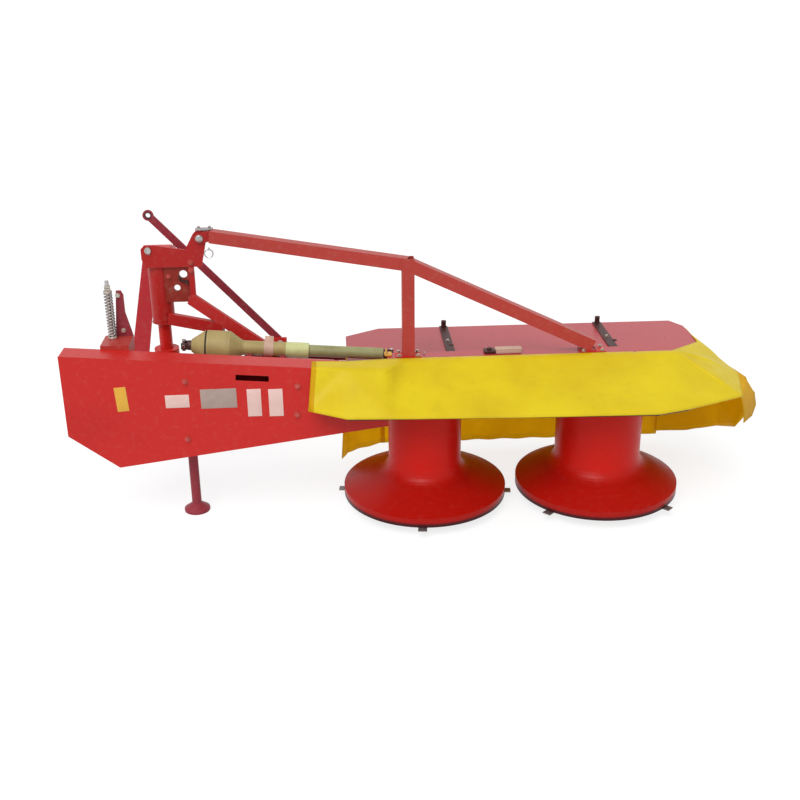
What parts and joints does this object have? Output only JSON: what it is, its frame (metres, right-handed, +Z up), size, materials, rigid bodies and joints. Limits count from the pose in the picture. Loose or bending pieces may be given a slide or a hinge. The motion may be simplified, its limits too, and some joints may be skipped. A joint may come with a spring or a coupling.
{
  "type": "two-drum rotary mower",
  "caption": "Tractor-mounted rotary drum mower: two belt-driven cutting drums on skid dishes under a guard of sheet steel and cloth, with a swinging three-point hitch.",
  "frame": {"origin": "middle of the outer box at floor level", "axes": "+X along the cutter towards the outer drum, +Y towards the tractor (the direction of travel), +Z up"},
  "size_m": [3.309, 1.13, 1.339],
  "materials": {
    "red_paint": "gloss enamel",
    "drum_paint": "gloss enamel",
    "dark_paint": "satin enamel",
    "yellow_cloth": "coated cloth, satin",
    "bare_steel": "bare, brushed",
    "skid_steel": "worn dark enamel",
    "grey_spring": "zinc plated",
    "shaft_guard": "matte",
    "yoke_iron": "dark paint"
  },
  "bodies": {
    "mower": {"belt_case": "red_paint", "belt_cover": "red_paint", "brace_carrier": "red_paint", "brace_tie": "red_paint", "brace_upright": "red_paint", "column": "red_paint", "column_brace": "red_paint", "column_carrier": "red_paint", "curtain_frame": "dark_paint", "end_curtain": "yellow_cloth", "front_curtain": "yellow_cloth", "gear_heads": "red_paint", "head_plate": "red_paint", "hoop_bar": "red_paint", "hoop_diagonal": "red_paint", "hoop_feet": "red_paint", "hoop_fork": "red_paint", "hoop_pin": "bare_steel", "hoop_post": "red_paint", "input_bearing": "red_paint", "input_shaft": "bare_steel", "latch_plate": "red_paint", "left_curtain": "yellow_cloth", "pto_left_yoke": "yoke_iron", "pto_outer_half": "shaft_guard", "pto_rests": "red_paint", "rear_curtain": "yellow_cloth", "relief_spring": "grey_spring", "roof_arms": "red_paint", "roof_plate": "red_paint", "roof_straps": "dark_paint", "spring_base": "red_paint", "spring_lever": "red_paint", "spring_rod": "bare_steel", "stand_sleeve": "red_paint", "transmission_beam": "red_paint"},
    "hitch": {"kingpin": "bare_steel", "hitch_cross_bar": "red_paint", "hitch_pins": "bare_steel", "hitch_low_arm": "red_paint", "mast_leg": "red_paint", "mast_stay": "red_paint", "stay_lug": "red_paint", "stay_pin": "bare_steel", "hitch_top_arm": "red_paint", "top_link_cheeks": "red_paint"},
    "drum_inner": {"drum_inner": "drum_paint", "knives_inner": "bare_steel"},
    "drum_outer": {"drum_outer": "drum_paint", "knives_outer": "bare_steel"},
    "skid_inner": {"skid_inner": "skid_steel"},
    "skid_outer": {"skid_outer": "skid_steel"},
    "stand": {"stand_leg": "red_paint"},
    "pto_inner": {"pto_inner_half": "shaft_guard", "pto_right_yoke": "yoke_iron"}
  },
  "joints": [
    {"name": "hitch_swing", "type": "hinge", "parent": "mower", "child": "hitch", "pos_m": [-1.2625, 0.25, 0.596], "axis": [0, 0, 1], "range_deg": [0, 90]},
    {"name": "drum_outer_spin", "type": "hinge", "parent": "mower", "child": "drum_outer", "pos_m": [0.8595, -0.135, 0.56], "axis": [0, 0, 1], "continuous": true},
    {"name": "drum_inner_spin", "type": "hinge", "parent": "mower", "child": "drum_inner", "pos_m": [0.0035, -0.135, 0.56], "axis": [0, 0, 1], "continuous": true},
    {"name": "skid_inner_spin", "type": "hinge", "parent": "mower", "child": "skid_inner", "pos_m": [0.0035, -0.135, 0.07], "axis": [0, 0, 1], "continuous": true},
    {"name": "skid_outer_spin", "type": "hinge", "parent": "mower", "child": "skid_outer", "pos_m": [0.8595, -0.135, 0.07], "axis": [0, 0, 1], "continuous": true},
    {"name": "stand_slide", "type": "slide", "parent": "mower", "child": "stand", "axis": [0, 0, 1], "range_m": [0, 0.25]},
    {"name": "pto_slide", "type": "slide", "parent": "mower", "child": "pto_inner", "axis": [0.997, 0, -0.078], "range_m": [-0.2, 0]}
  ],
  "couplings": [
    {"joint": "drum_inner_spin", "follows": "drum_outer_spin", "ratio": -1}
  ]
}
